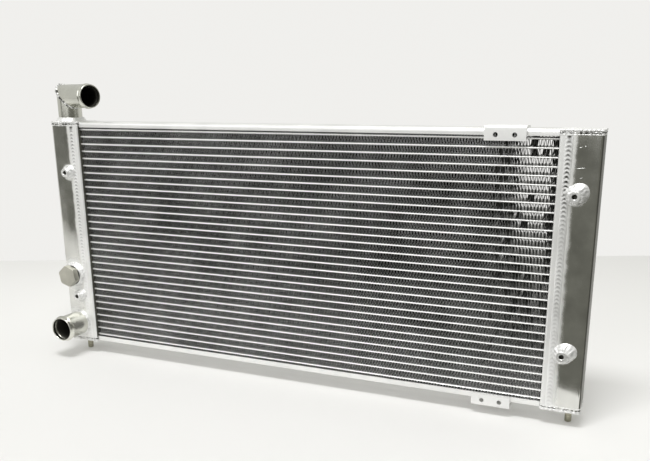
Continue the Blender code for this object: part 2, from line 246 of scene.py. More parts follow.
# Camera and stage
CAMERA_PLACE = (0.4207, -0.8556, 0.3764)
CAMERA_TURN = (74.496, 0.105, 22.621)
CAMERA_LENS = 41.0
CAMERA_SHIFT = (-0.0246, 0.1069)
CAMERA_NEAREST = 0.01
TABLE_TURN = math.radians(24.3)
TABLE_FRONT = (0.36, -0.137)
TABLE_DEPTH = 1.05
TABLE_REACH = 3.2
# The table's colour is painted light: darker near its front, paler towards its far edge
TABLE_COLOUR = (0.735, 0.73, 0.72)
TABLE_FAR_COLOUR = (0.89, 0.885, 0.875)
TABLE_PAINTED_LIGHT_FADE = (-0.5, 0.3)
TABLE_ROUGHNESS = 0.6
TABLE_SHINE = 0.2
ROOM_COLOUR = (0.62, 0.62, 0.59)
DIM_COLOUR = (0.15, 0.15, 0.13)
DIM_TOWARDS = (0.65, -1.0, 0.0)
DIM_SIDES = (-0.25, 0.25)
DIM_TOP = (0.75, 0.25)
BACKDROP_COLOUR = (0.875, 0.868, 0.845)

# Lights: name, place, aim, size, power
LIGHTS = (
    ("ceiling", (0.30, -0.05, 2.0), (0.1, 0.0, 0.0), (1.2, 0.7), 4.5),
    ("lamp", (0.12, -0.72, 1.9), (0.05, 0.0, 0.1), (0.70, 0.35), 20.0),
    ("window", (-0.6, -2.2, 1.15), (0.1, 0.0, 0.15), (3.0, 1.6), 22.0),
)

FRONT = Vector((0, -1, 0))
UP = Vector((0, 0, 1))


def new_collection(name):
    made = bpy.data.collections.new(name)
    bpy.context.scene.collection.children.link(made)
    return made


PIECES = new_collection("radiator_looks")
STAGE = new_collection("stage")


# Materials


def centre_of(node):
    low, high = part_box(node)
    return (low + high) / 2


def link(tree, out, into):
    tree.links.new(out, into)


def calculate(tree, operation, first, second=None):
    step = tree.nodes.new("ShaderNodeMath")
    step.operation = operation
    for socket, value in zip(step.inputs, (first, second)):
        if isinstance(value, float):
            socket.default_value = value
        elif value is not None:
            link(tree, value, socket)
    return step.outputs["Value"]


def clouds(tree, place, scale, detail):
    """Cloudy values about one half."""
    cloud = tree.nodes.new("ShaderNodeTexNoise")
    cloud.inputs["Scale"].default_value = scale
    cloud.inputs["Detail"].default_value = detail
    link(tree, place, cloud.inputs["Vector"])
    return cloud.outputs["Fac"]


def mapped(tree, value, limits, results=(0.0, 1.0), shape="LINEAR"):
    """Brings a value from one pair of limits to another, and holds it there beyond them."""
    step = tree.nodes.new("ShaderNodeMapRange")
    step.interpolation_type = shape
    for name, number in zip(("From Min", "From Max", "To Min", "To Max"), (*limits, *results)):
        step.inputs[name].default_value = number
    link(tree, value, step.inputs["Value"])
    return step.outputs["Result"]


def ramp(tree, value, start, end):
    """0 at start and 1 at end, smoothly."""
    return mapped(tree, value, (start, end), shape="SMOOTHSTEP")


def mixed(tree, factor, first, second):
    """The first at factor 0 and the second at 1. Each is a colour or a socket."""
    blend = tree.nodes.new("ShaderNodeMix")
    blend.data_type = "RGBA"
    link(tree, factor, blend.inputs["Factor"])
    for name, colour in (("A", first), ("B", second)):
        if isinstance(colour, tuple):
            blend.inputs[name].default_value = (*colour, 1.0)
        else:
            link(tree, colour, blend.inputs[name])
    return blend.outputs["Result"]


def bumped(tree, height, strength, depth, under=None):
    step = tree.nodes.new("ShaderNodeBump")
    step.inputs["Strength"].default_value = strength
    step.inputs["Distance"].default_value = depth
    link(tree, height, step.inputs["Height"])
    if under:
        link(tree, under, step.inputs["Normal"])
    return step.outputs["Normal"]


def new_material(name):
    made = bpy.data.materials.new(name)
    made.use_nodes = True
    return made, made.node_tree, made.node_tree.nodes["Principled BSDF"].inputs


def metal(name, colour, roughness, grain, grain_bump, patch, rough_spread, speckle=0.0, metallic=1.0):
    """Bare metal: stretched grain in the bump, soft patches in colour and roughness, optional pitting."""
    made, tree, shader = new_material(name)
    shader["Metallic"].default_value = metallic
    place = object_place(tree)
    stretch = tree.nodes.new("ShaderNodeMapping")
    stretch.inputs["Scale"].default_value = grain
    link(tree, place, stretch.inputs["Vector"])
    fine = clouds(tree, stretch.outputs["Vector"], GRAIN_SCALE, 5.0)
    soft = clouds(tree, place, PATCH_SCALE, 4.0)
    low = tuple(c * (1 - patch) for c in colour)
    high = tuple(min(1.0, c * (1 + patch)) for c in colour)
    link(tree, mixed(tree, mapped(tree, soft, PATCH_EDGES), low, high), shader["Base Color"])
    limits = (max(LEAST_ROUGHNESS, roughness - rough_spread), roughness + rough_spread)
    both = calculate(tree, "ADD", fine, soft)
    link(tree, mapped(tree, both, ROUGHNESS_EDGES, limits), shader["Roughness"])
    pits = bumped(tree, clouds(tree, place, PIT_SCALE, 3.0), speckle, PIT_DEPTH) if speckle else None
    link(tree, bumped(tree, fine, grain_bump, GRAIN_DEPTH, pits), shader["Normal"])
    return made


def recolour(tree, base, factor, colour):
    """Sends the colour that now reaches a socket through a mix with another colour."""
    link(tree, mixed(tree, factor, base.links[0].from_socket, colour), base)


def darkened_by_soot_and_shade(made):
    """Lets a piece's per-point darkening attribute darken its metal: painted shade in the grooves and
    hollows of a weld, with patches of soot.
    """
    tree = made.node_tree
    marks = tree.nodes.new("ShaderNodeAttribute")
    marks.attribute_name = "soot_and_shade"
    recolour(tree, tree.nodes["Principled BSDF"].inputs["Base Color"], marks.outputs["Fac"], SOOT_AND_SHADE_COLOUR)
    return made


def measured(tree, operation, place, vector):
    """A distance to a point, or a dot product with a direction."""
    step = tree.nodes.new("ShaderNodeVectorMath")
    step.operation = operation
    link(tree, place, step.inputs[0])
    step.inputs[1].default_value = vector
    return step.outputs["Value"]


def object_place(tree):
    return tree.nodes.new("ShaderNodeTexCoord").outputs["Object"]


def split(tree, place):
    step = tree.nodes.new("ShaderNodeSeparateXYZ")
    link(tree, place, step.inputs["Vector"])
    return step.outputs


def frosted(made):
    """Welding heat leaves the sheet pale and matt beside the seams, the bosses, the ports and the caps."""
    tree = made.node_tree
    shader = tree.nodes["Principled BSDF"].inputs
    place = object_place(tree)
    stray = calculate(tree, "MULTIPLY", clouds(tree, place, FROST_SCALE, 4.0), FROST_STRAY)
    x, y, z = split(tree, place)
    across = calculate(tree, "ABSOLUTE", x)
    rise = calculate(tree, "ABSOLUTE", calculate(tree, "SUBTRACT", z, CORE_MIDDLE))
    folded = tree.nodes.new("ShaderNodeCombineXYZ")
    for socket, value in zip(folded.inputs, (across, y, rise)):
        link(tree, value, socket)
    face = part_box("tank_right")[0].y
    boss = centre_of("boss_right_top")
    boss_place = (boss.x, face, boss.z - CORE_MIDDLE)
    near_boss = measured(tree, "DISTANCE", folded.outputs["Vector"], boss_place)
    zones = [
        (calculate(tree, "ADD", across, stray), SEAM_FROST),
        (calculate(tree, "ADD", near_boss, stray), BOSS_FROST),
        (calculate(tree, "SUBTRACT", rise, stray), CAP_FROST),
    ]
    for node in ("plug_seat", "outlet_pipe"):
        port = centre_of(node)
        near = measured(tree, "DISTANCE", place, (port.x, face, port.z))
        zones.append((calculate(tree, "ADD", near, stray), PORT_FROST))
    frost = 0.0
    for distance, (full, none) in zones:
        frost = calculate(tree, "MAXIMUM", frost, ramp(tree, distance, none, full))
    recolour(tree, shader["Base Color"], frost, FROST_COLOUR)
    matt = calculate(tree, "MULTIPLY", frost, FROST_ROUGHNESS)
    rough = calculate(tree, "MAXIMUM", shader["Roughness"].links[0].from_socket, matt)
    link(tree, rough, shader["Roughness"])
    dull = calculate(tree, "MULTIPLY", frost, FROST_DULL)
    link(tree, calculate(tree, "SUBTRACT", 1.0, dull), shader["Metallic"])
    return made


CORE_MIDDLE = (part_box("side_channel_bottom")[0].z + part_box("side_channel_top")[1].z) / 2
LOOK = {
    "tank": frosted(metal("tank_sheet", (0.76, 0.76, 0.73), 0.12, (3, 3, 0.15), 0.12, 0.15, 0.07)),
    # Painted shade: a dark sheet on the tanks' outer bends and on the headers' faces towards the core, and a
    # less dark one on the tanks' flat end faces
    "tank_end": metal("tank_end_sheet", (0.085, 0.085, 0.07), 0.78, (3, 3, 0.15), 0.15, 0.18, 0.08, 0, 0.1),
    "tank_side": metal("tank_side_sheet", (0.25, 0.25, 0.23), 0.50, (3, 3, 0.15), 0.15, 0.12, 0.07),
    "flange": metal("flange_sheet", (0.90, 0.90, 0.89), 0.52, (3, 3, 0.2), 0.2, 0.05, 0.08, 0, 0.6),
    "channel": metal("channel_sheet", (0.92, 0.92, 0.91), 0.34, (0.2, 3, 3), 0.2, 0.05, 0.06, 0, 0.7),
    "bracket": metal("bracket_sheet", (0.90, 0.90, 0.89), 0.55, (0.3, 3, 3), 0.2, 0.04, 0.08, 0, 0.5),
    "tube": metal("tube_wall", (0.96, 0.96, 0.95), 0.36, (0.1, 3, 3), 0.15, 0.03, 0.06, 0, 0.6),
    # The fin foil's dark colour is painted shade of the deep core
    "fin": metal("fin_foil_painted_shade", (0.28, 0.28, 0.265), 0.15, (3, 3, 3), 0.1, 0.15, 0.05),
    "fin_edge": metal("fin_edge", (0.86, 0.86, 0.85), 0.40, (3, 3, 3), 0.2, 0.18, 0.10, 0, 0.95),
    "fin_shade": metal("shaded_foil", (0.12, 0.12, 0.11), 0.42, (3, 3, 3), 0.1, 0.15, 0.05, 0, 0.5),
    "pipe": metal("drawn_pipe", (0.72, 0.72, 0.66), 0.22, (3, 3, 3), 0.12, 0.08, 0.06),
    "weld": darkened_by_soot_and_shade(metal("weld_metal", (0.95, 0.95, 0.94), 0.46, (8, 8, 8), 0.3, 0.06, 0.12, 0.4, 0.55)),
    "boss": metal("turned_boss", (0.88, 0.88, 0.87), 0.40, (1, 12, 1), 0.3, 0.06, 0.08, 0, 0.8),
    "plug": metal("plug_metal", (0.52, 0.51, 0.45), 0.34, (2, 10, 2), 0.3, 0.22, 0.10, 0.15),
    "pin": metal("pin_metal", (0.34, 0.33, 0.26), 0.24, (2, 2, 14), 0.3, 0.12, 0.06),
    # Painted shade inside holes and pipe bores
    "bore": metal("bore_painted_shade", (0.14, 0.138, 0.12), 0.55, (3, 3, 3), 0.3, 0.25, 0.10),
    "rubber": metal("washer_rubber", (0.022, 0.022, 0.022), 0.62, (6, 6, 6), 0.4, 0.2, 0.10, 0.2, 0.0),
}


# Mesh building


def solid_mesh(name, points, faces):
    """A mesh whose faces point outwards."""
    mesh = bpy.data.meshes.new(name)
    mesh.from_pydata([tuple(point) for point in points], [], faces)
    work = bmesh.new()
    work.from_mesh(mesh)
    bmesh.ops.recalc_face_normals(work, faces=work.faces)
    work.to_mesh(mesh)
    work.free()
    return mesh


def shade(mesh, sharp):
    mesh.shade_smooth()
    mesh.set_sharp_from_angle(angle=math.radians(sharp))


def add_piece(name, points, faces, look, slot, nodes=(), body="radiator", sharp=32, soot_and_shade=None):
    mesh = solid_mesh(name, points, faces)
    if soot_and_shade:
        marks = mesh.attributes.new("soot_and_shade", "FLOAT", "POINT")
        marks.data.foreach_set("value", [min(1.0, max(0.0, value)) for value in soot_and_shade])
    obj = bpy.data.objects.new(name, mesh)
    PIECES.objects.link(obj)
    shade(mesh, sharp)
    mesh.materials.append(LOOK[look])
    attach(obj, body)
    if nodes:
        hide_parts(*nodes)
    return obj


def second_look(obj, look, chosen):
    """Gives the faces that chosen(centre, normal) picks another metal."""
    obj.data.materials.append(LOOK[look])
    last = len(obj.data.materials) - 1
    for face in obj.data.polygons:
        if chosen(face.center, face.normal):
            face.material_index = last


def paint_bore_shade(obj, centre, axis, radius, below):
    """Paints shade on the faces that line a hole, as a dark metal: nearer the axis than radius, and below
    this height along it.
    """
    def inside(point, _):
        height = (point - centre).dot(axis)
        return height < below and (point - centre - axis * height).length < radius
    second_look(obj, "bore", inside)


def carve(obj, operation, points, faces, sharp=32):
    """Cuts or keeps part of a piece by another shape, and stores the result as its mesh."""
    cutter = bpy.data.objects.new("cutter", solid_mesh("cutter", points, faces))
    bpy.context.scene.collection.objects.link(cutter)
    step = obj.modifiers.new("carve", "BOOLEAN")
    step.operation = operation
    step.solver = "EXACT"
    step.object = cutter
    graph = bpy.context.evaluated_depsgraph_get()
    carved = bpy.data.meshes.new_from_object(obj.evaluated_get(graph))
    obj.modifiers.clear()
    obj.data = carved
    shade(carved, sharp)
    bpy.data.objects.remove(cutter)


def drill(obj, centre, axis, radius, depths, steps=HOLE_STEPS):
    """Cuts a round hole between two distances along its axis."""
    carve(obj, "DIFFERENCE", *lathe([(radius, depth) for depth in depths], centre, axis, steps, False))


def port_on(node, tank):
    """Where the axis of a fitting meets the front face of its tank."""
    centre = centre_of(node)
    centre.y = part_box(tank)[0].y
    return centre


def round_angles(steps):
    return [2 * math.pi * i / steps for i in range(steps)]


def arc(centre, radius, start, end, steps):
    angles = [math.radians(start + (end - start) * i / steps) for i in range(steps + 1)]
    return [(centre[0] + radius * math.cos(a), centre[1] + radius * math.sin(a)) for a in angles]


def prism(outline, low, high, place):
    count = len(outline)
    points = [place(u, v, w) for w in (low, high) for u, v in outline]
    faces = [tuple(range(count)), tuple(range(count, 2 * count))]
    for i in range(count):
        j = (i + 1) % count
        faces.append((i, j, count + j, count + i))
    return points, faces


def loft(rings, closed):
    """Through equal closed rings; closed joins the last to the first, else the ends are capped."""
    count = len(rings[0])
    points = [point for ring in rings for point in ring]
    faces = []
    for k in range(len(rings) if closed else len(rings) - 1):
        a = k * count
        b = ((k + 1) % len(rings)) * count
        for i in range(count):
            j = (i + 1) % count
            faces.append((a + i, a + j, b + j, b + i))
    if not closed:
        faces.append(tuple(range(count)))
        faces.append(tuple(range(len(points) - count, len(points))))
    return points, faces


def channel_outline(half, lip, wall, bend):
    outer = [(-half, lip)]
    outer += arc((bend - half, bend), bend, 180, 270, BEND_STEPS)
    outer += arc((half - bend, bend), bend, 270, 360, BEND_STEPS)
    outer.append((half, lip))
    inner = [(half - wall, lip)]
    inner += arc((half - bend, bend), bend - wall, 360, 270, BEND_STEPS)
    inner += arc((bend - half, bend), bend - wall, 270, 180, BEND_STEPS)
    inner.append((wall - half, lip))
    return outer + inner


def angle_outline(reach, height, wall, bend):
    outer = [(0.0, height)] + arc((bend, bend), bend, 180, 270, BEND_STEPS) + [(reach, 0.0)]
    inner = [(reach, wall)] + arc((bend, bend), bend - wall, 270, 180, BEND_STEPS) + [(wall, height)]
    return outer + inner


def rounded_rectangle(low, high, radius, steps):
    left, right = low[0] + radius, high[0] - radius
    near, far = low[1] + radius, high[1] - radius
    points = []
    for quarter, centre in enumerate(((right, near), (right, far), (left, far), (left, near)), -1):
        points += arc(centre, radius, 90 * quarter, 90 * quarter + 90, steps)
    return points


def stadium(centre_v, half_u, half_v, steps):
    flat = half_u - half_v
    right = arc((flat, centre_v), half_v, -90, 90, steps)
    left = arc((-flat, centre_v), half_v, 90, 270, steps)
    return right + left


def axes_of(axis):
    """Two unit vectors square to axis and to each other, with no twist between nearby axes."""
    side = UP if abs(axis.dot(UP)) < 0.9 else Vector((1, 0, 0))
    first = side.cross(axis).normalized()
    return first, axis.cross(first).normalized()


def lathe(profile, centre, axis, steps=PIPE_STEPS, closed=True, thread=None):
    """Turns (radius, distance) points round axis. thread is (first, last, pitch, depth) of the profile."""
    first, second = axes_of(axis)
    rings = []
    for index, (radius, distance) in enumerate(profile):
        ring = []
        for i, turn in enumerate(round_angles(steps)):
            reach = radius
            if thread and thread[0] <= index <= thread[1]:
                phase = (distance / thread[2] - i / steps) % 1.0
                reach += thread[3] * (1 - abs(2 * phase - 1))
            offset = first * (reach * math.cos(turn)) + second * (reach * math.sin(turn))
            ring.append(centre + offset + axis * distance)
        rings.append(ring)
    return loft(rings, closed)


def threaded(radius, start, end, pitch, per_turn=10):
    """Profile points close enough together to hold a thread."""
    count = max(2, round(abs(end - start) / pitch * per_turn))
    return [(radius, start + (end - start) * i / count) for i in range(count + 1)]


def wobble(*at):
    return noise.noise(Vector(at))


# Welds


def held_in(point):
    """Keeps weld metal inside the object's own box."""
    limits = zip(point, *cad_box)
    return Vector([min(max(value, low + BOX_SPARE), high - BOX_SPARE) for value, low, high in limits])


def rope(name, path, normals, radius, pitch, seed, closed, slot="sheet", lumps=0.28, soot_and_shade_amount=0.0):
    """A laid bead along a path: round in section, with a ridge at every pitch, painted shade in its hollows
    and patches of soot.
    """
    rings = []
    soot_and_shade = []
    travelled = 0.0
    for k, point in enumerate(path):
        ahead = path[(k + 1) % len(path)] if closed else path[min(k + 1, len(path) - 1)]
        behind = path[k - 1] if closed or k else path[0]
        along = (ahead - behind).normalized()
        out = normals[k]
        side = along.cross(out).normalized()
        travelled += (point - path[k - 1]).length if k else 0.0
        ripple = abs(math.sin(math.pi * travelled / pitch))
        stray = 0.8 * lumps * wobble(travelled * ROPE_LUMP_RATE, seed, 0.3)
        size = radius * (1 - lumps / 2 + lumps * ripple + stray)
        ring = []
        for turn in round_angles(ROPE_SIDES):
            ring.append(held_in(point + (out * math.cos(turn) + side * math.sin(turn)) * size))
            # Soot in random patches, and painted shade between the ripples
            patch = wobble(travelled * ROPE_SOOT_RATE, seed + 3, 0.9 * math.sin(turn))
            soot_and_shade.append(soot_and_shade_amount * (0.35 + 2.2 * patch + 0.6 * (1 - ripple)))
        rings.append(ring)
    add_piece(name, *loft(rings, closed), "weld", slot, sharp=80, soot_and_shade=soot_and_shade)


def collar(name, centre, axis, root, toe, height, seed, ripples, swell=0, towards=0, slot="boss", soot_and_shade_amount=0.3):
    """A lumpy mound of weld round something round: from its toe on the sheet up to its root."""
    first, second = axes_of(axis)
    rings = []
    soot_and_shade = []
    for turn in round_angles(COLLAR_STEPS):
        out = first * math.cos(turn) + second * math.sin(turn)
        loose = wobble(math.cos(turn) * 1.3, math.sin(turn) * 1.3, seed)
        fine = wobble(math.cos(turn) * 4.5, math.sin(turn) * 4.5, seed + 5)
        lean = max(0.0, math.cos(turn - towards)) ** 2
        edge = toe * (1 + 0.12 * loose + 0.025 * fine) + swell * lean
        top = height * (1 + 0.14 * loose + 0.03 * fine)
        ring = [centre + out * (root - SUNK) - axis * SUNK]
        dark = [0.0]
        for share in COLLAR_SHARES:
            reach = edge + (root - edge) * share
            rise = top * math.sin(0.5 * math.pi * share) ** 1.15
            phase = (ripples * turn / (2 * math.pi) + 1.6 * share) % 1.0
            scallop = 0.5 - 0.5 * math.cos(2 * math.pi * phase)
            spread = reach * COLLAR_LUMP_RATE
            lump = wobble(math.cos(turn) * spread, math.sin(turn) * spread, seed)
            bulge = math.sin(math.pi * share)
            puff = bulge * (COLLAR_SCALLOP * scallop + COLLAR_LUMP * lump)
            lift = rise + puff - (0 if share else SUNK)
            ring.append(held_in(centre + out * (reach + 0.5 * puff) + axis * lift))
            # Painted shade where the lumps and scallops dip
            dark.append(soot_and_shade_amount * (1.6 * max(0.0, -lump) + 0.7 * (1 - scallop) * bulge))
        ring.append(centre + out * (root - SUNK) + axis * top)
        dark.append(0.0)
        rings.append(ring)
        soot_and_shade += dark
    add_piece(name, *loft(rings, True), "weld", slot, sharp=80, soot_and_shade=soot_and_shade)


def seam(name, centre_x, face_y, outward, low, high, seed, soot_and_shade_amount):
    """The stacked arches of a bead laid up the seam between header and tank, each with painted shade under
    its brow, and painted shade in the crater at its top.
    """
    rings = []
    soot_and_shade = []
    rows = int((high - low) / SEAM_ROW)
    for k in range(rows + 1):
        z = low + (high - low) * k / rows
        rise = (z - low) / (high - low)
        strength = min(1.0, max(0.12, 1.3 * rise - 0.2 + 0.6 * wobble(z * 16, seed, 2.0)))
        half = SEAM_HALF_WIDTH * (1 + 0.07 * wobble(z * 60, seed, 4.0) + 0.04 * wobble(z * 240, seed, 6.0))
        taper = min(1.0, (z - low) / SEAM_TAPER, (high - z) / SEAM_TAPER)
        crater = max(0.0, 1 - (high - z) / SEAM_CRATER)
        ring = []
        for i in range(SEAM_ACROSS + 1):
            t = 2 * i / SEAM_ACROSS - 1
            stray = 0.16 * wobble(z * 130, seed, t)
            ripple = ((z + SEAM_ARCH * t * t) / SEAM_PITCH + stray) % 1.0
            dome = math.sqrt(max(0.0, 1 - t * t))
            height = SEAM_HEIGHT * dome * (1 - strength * (0.10 + 0.65 * ripple ** 2.5))
            height *= 1 - 0.8 * crater * (1 - t * t)
            height += SEAM_FINE * dome * wobble(centre_x * 90 + t * 2.2, z * 420, seed)
            ring.append((centre_x + half * t, face_y + outward * max(0.0, height) * max(0.05, taper), z))
            # Painted shade under each arch's brow and in the crater at the top
            brow = smooth(ripple, *SEAM_BROW) * max(0.0, 1 - (t / 0.78) ** 2)
            soot_and_shade.append(max(soot_and_shade_amount * strength * brow, 1.2 * crater * (1 - t * t) ** 2))
        ring += [(centre_x + step * half, face_y - outward * SUNK, z) for step in (1, -1)]
        soot_and_shade += [0.0, 0.0]
        rings.append(ring)
    add_piece(name, *loft(rings, False), "weld", "sheet", sharp=80, soot_and_shade=soot_and_shade)


# The core


def strip_levels():
    """The lower and upper limit of each fin strip, from the faces of the tubes and the side channels."""
    levels = []
    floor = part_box("side_channel_bottom")[0].z + CHANNEL_WALL
    for index in range(TUBE_COUNT, 0, -1):
        low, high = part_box(f"tube_{index:02d}")
        levels.append((floor, low.z))
        floor = high.z
    levels.append((floor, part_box("side_channel_top")[1].z - CHANNEL_WALL))
    return levels


def quads_of(corners):
    """Points and faces of many separate quads, from an array of (quads, 4, 3)."""
    count = len(corners)
    return corners.reshape(-1, 3), np.arange(4 * count).reshape(-1, 4)


def smooth(value, start, end):
    share = min(1.0, max(0.0, (value - start) / (end - start)))
    return share * share * (3 - 2 * share)


def fin_shear(x, row):
    """How far a fin's back edge stands beside its front edge. Light passes where fins lean as one looks."""
    block = int(x / SHEAR_BLOCK)
    knocked = wobble(block * 3.7, row * 5.3, 8.0) > SHEAR_SPARED
    lean = -FIN_SHEAR * smooth(x, *SHEAR_GROWS) * (1 - smooth(x, *SHEAR_ENDS)) * (0 if knocked else 1)
    lean *= smooth(row, *SHEAR_ROWS)
    loose = FIN_LEAN * wobble(x * 9, row * 0.7, 1.0) + 0.5 * FIN_LEAN * wobble(x * 70, row * 1.3, 3.0)
    return lean + FIN_PERIOD * loose


def fin_wall(foot, head, front, back, shear):
    """One wall between two crests: a flat border all round and two banks of turned slats."""
    run = head - foot
    side = Vector((run.z, 0, -run.x)).normalized()

    def at(share, y):
        point = foot + run * share
        return (point.x + shear * (y - front) / (back - front), y, point.z)

    quads = []
    low, high = FIN_MARGIN, 1 - FIN_MARGIN
    for a, b in ((0.0, low), (high, 1.0)):
        quads.append((at(a, front), at(b, front), at(b, back), at(a, back)))
    bank = (back - front - 2 * FLAT_END - FLAT_MIDDLE) / 2
    middle = front + FLAT_END + bank
    for a, b in ((front, front + FLAT_END), (middle, middle + FLAT_MIDDLE), (back - FLAT_END, back)):
        quads.append((at(low, a), at(high, a), at(high, b), at(low, b)))
    width = bank / LOUVRES_PER_BANK
    reach = 0.5 * width * math.cos(LOUVRE_ANGLE)
    for start, sign in ((front + FLAT_END, 1), (middle + FLAT_MIDDLE, -1)):
        lift = side * (0.5 * width * math.sin(LOUVRE_ANGLE) * sign)
        for slat in range(LOUVRES_PER_BANK):
            centre = start + (slat + 0.5) * width
            corners = []
            for share, step in ((low, -1), (high, -1), (high, 1), (low, 1)):
                x, y, z = at(share, centre + step * reach)
                corners.append((x + step * lift.x, y, z + step * lift.z))
            quads.append(tuple(corners))
    edge = side * (FIN_EDGE / 2)
    for y in (front, back):
        x, _, z = at(0.0, y)
        u, _, w = at(1.0, y)
        ends = ((x, z, -1), (x, z, 1), (u, w, 1), (u, w, -1))
        quads.append(tuple((a + sign * edge.x, y, b + sign * edge.z) for a, b, sign in ends))
    return quads


def fin_crest(x, z, front, back, shear, rising):
    """The rolled crest that is brazed to a tube, with the thickness of its foil at both ends."""
    away = -1 if rising else 1
    turns = [math.pi + away * math.pi * i / CREST_STEPS for i in range(CREST_STEPS + 1)]
    radii = (CREST_RADIUS, CREST_INNER)
    outer, inner = [[(x + r * math.cos(a), z + r * math.sin(a)) for a in turns] for r in radii]
    quads = []
    for i in range(CREST_STEPS):
        (xa, za), (xb, zb) = outer[i], outer[i + 1]
        (ua, wa), (ub, wb) = inner[i], inner[i + 1]
        quads.append(((xa, front, za), (xb, front, zb), (xb + shear, back, zb), (xa + shear, back, za)))
        for y, step in ((front, 0), (back, shear)):
            quads.append(((xa + step, y, za), (xb + step, y, zb), (ub + step, y, wb), (ua + step, y, wa)))
    root = z - away * CREST_RADIUS
    tip = root + away * FILLET_RISE
    wide, slim = FILLET_HALF, FILLET_HALF / 4
    for y, u in ((front - FILLET_PROUD, x), (back + FILLET_PROUD, x + shear)):
        quads.append(((u - wide, y, root), (u + wide, y, root), (u + slim, y, tip), (u - slim, y, tip)))
    return quads


def fin_strip(low, high, left, right, front, back, phase, row):
    """One corrugated, louvred foil between two tubes, as quads."""
    radius = CREST_RADIUS
    half = FIN_PERIOD / 2
    count = int((right - left - 2 * radius) / half)
    start = left + radius + 0.5 * (right - left - 2 * radius - count * half)
    quads = []
    for k in range(count):
        rising = (k + phase) % 2 == 0
        x = start + k * half
        shear = fin_shear(x, row)
        ends = (low + radius, high - radius) if rising else (high - radius, low + radius)
        foot = Vector((x + radius, 0, ends[0]))
        head = Vector((x + half - radius, 0, ends[1]))
        quads += fin_wall(foot, head, front, back, shear)
        quads += fin_crest(x + half, ends[1], front, back, shear, rising)
    return quads


def shaded_fins(x, z):
    """Which faces take the painted shade of a dark fin. There are more of them towards the upper right end.
    """
    share = SHADE_MOST * np.clip((x - SHADE_GROWS[0]) / (SHADE_GROWS[1] - SHADE_GROWS[0]), 0, 1)
    share *= np.clip((z - SHADE_RISES[0]) / (SHADE_RISES[1] - SHADE_RISES[0]), 0, 1)
    wall = np.floor(x / (FIN_PERIOD / 2))
    row = np.floor(z / ROW_PITCH)
    chance = np.modf(np.abs(np.sin(wall * SHADE_MIX[0] + row * SHADE_MIX[1])) * SHADE_MIX[2])[0]
    return chance < share


def quad_mesh(name, quads):
    points, faces = quads_of(np.array(quads))
    mesh = bpy.data.meshes.new(name)
    mesh.vertices.add(len(points))
    mesh.vertices.foreach_set("co", points.ravel())
    mesh.loops.add(faces.size)
    mesh.loops.foreach_set("vertex_index", faces.ravel())
    mesh.polygons.add(len(faces))
    mesh.polygons.foreach_set("loop_start", np.arange(0, faces.size, 4))
    mesh.update(calc_edges=True)
    mesh.validate()
    return mesh


def of_each_face(mesh, measure):
    values = np.zeros(3 * len(mesh.polygons))
    mesh.polygons.foreach_get(measure, values)
    return values.reshape(-1, 3)


def build_fins():
    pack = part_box("fin_pack")
    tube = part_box("tube_01")
    front = tube[0].y + FIN_SET_BACK
    back = tube[1].y - FIN_SET_BACK
    levels = strip_levels()
    for first in range(0, len(levels), STRIPS_PER_PIECE):
        quads = []
        for row, (low, high) in enumerate(levels[first:first + STRIPS_PER_PIECE], first):
            quads += fin_strip(low, high, pack[0].x, pack[1].x, front, back, row % 2, row)
        name = f"fins_{first // STRIPS_PER_PIECE + 1}"
        mesh = quad_mesh(name, quads)
        obj = bpy.data.objects.new(name, mesh)
        PIECES.objects.link(obj)
        for look in ("fin", "fin_edge", "fin_shade"):
            mesh.materials.append(LOOK[look])
        middles = of_each_face(mesh, "center")
        shaded = shaded_fins(middles[:, 0], middles[:, 2])
        edges = abs(of_each_face(mesh, "normal")[:, 1]) > EDGE_FACING
        mesh.polygons.foreach_set("material_index", np.where(shaded, 2, edges).astype(int))
        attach(obj, "radiator")
        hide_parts("fin_pack")


def dress_nodes():
    """CAD shapes that stay: their material slots take the finished metals."""
    looks = {f"tube_{index:02d}": "tube" for index in range(1, TUBE_COUNT + 1)}
    looks["baffle"] = "flange"
    for node, look in looks.items():
        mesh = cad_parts[node].data
        mesh.materials.clear()
        mesh.materials.append(LOOK[look])


# Headers, tanks and caps


def build_header(side, name):
    low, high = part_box(f"header_{name}")
    face = min(abs(low.x), abs(high.x))
    outline = channel_outline(high.y, abs(high.x - low.x), HEADER_WALL, HEADER_BEND)
    plate = prism(outline, low.z, high.z, lambda u, v, w: (side * (face + v), u, w))
    header = add_piece(f"header_plate_{name}", *plate, "flange", "sheet", (f"header_{name}",))
    points, faces = [], []
    for index in range(1, TUBE_COUNT + 1):
        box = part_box(f"tube_{index:02d}")
        middle = (box[0].z + box[1].z) / 2
        slot = stadium(middle, box[1].y + SLOT_CLEARANCE, TUBE_HALF_THICK + SLOT_CLEARANCE, 6)
        reach = (side * (face - HEADER_WALL), side * (face + 2 * HEADER_WALL))
        more, sides = prism(slot, *reach, lambda u, v, w: (w, u, v))
        faces += [tuple(i + len(points) for i in part) for part in sides]
        points += more
    carve(header, "DIFFERENCE", points, faces)

    def towards_core(point, normal):
        return normal.x * side < -END_FACING and abs(point.x) < face + HEADER_WALL / 2

    # Painted shade on the header's face towards the core
    second_look(header, "tank_end", towards_core)


def build_tank(side, name):
    low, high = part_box(f"tank_{name}")
    face = max(abs(low.x), abs(high.x))
    outline = channel_outline(high.y, abs(high.x - low.x), SHEET_WALL, TANK_BEND)
    shell = prism(outline, low.z, high.z, lambda u, v, w: (side * (face - v), u, w))
    tank = add_piece(f"tank_shell_{name}", *shell, "tank", "sheet", (f"tank_{name}",))
    if side < 0:
        for node, radius in (("plug_seat", SEAT_BORE), ("outlet_pipe", OUTLET_RADIUS - PIPE_WALL)):
            drill(tank, port_on(node, "tank_left"), FRONT, radius, PORT_CUT)
    # Painted shade on the tank's outer bend and end face; the flat end face gets a less dark painted shade
    second_look(tank, "tank_end", lambda point, normal: normal.x * side > BEND_FACING)
    second_look(tank, "tank_side", lambda point, normal: normal.x * side > END_FACING)


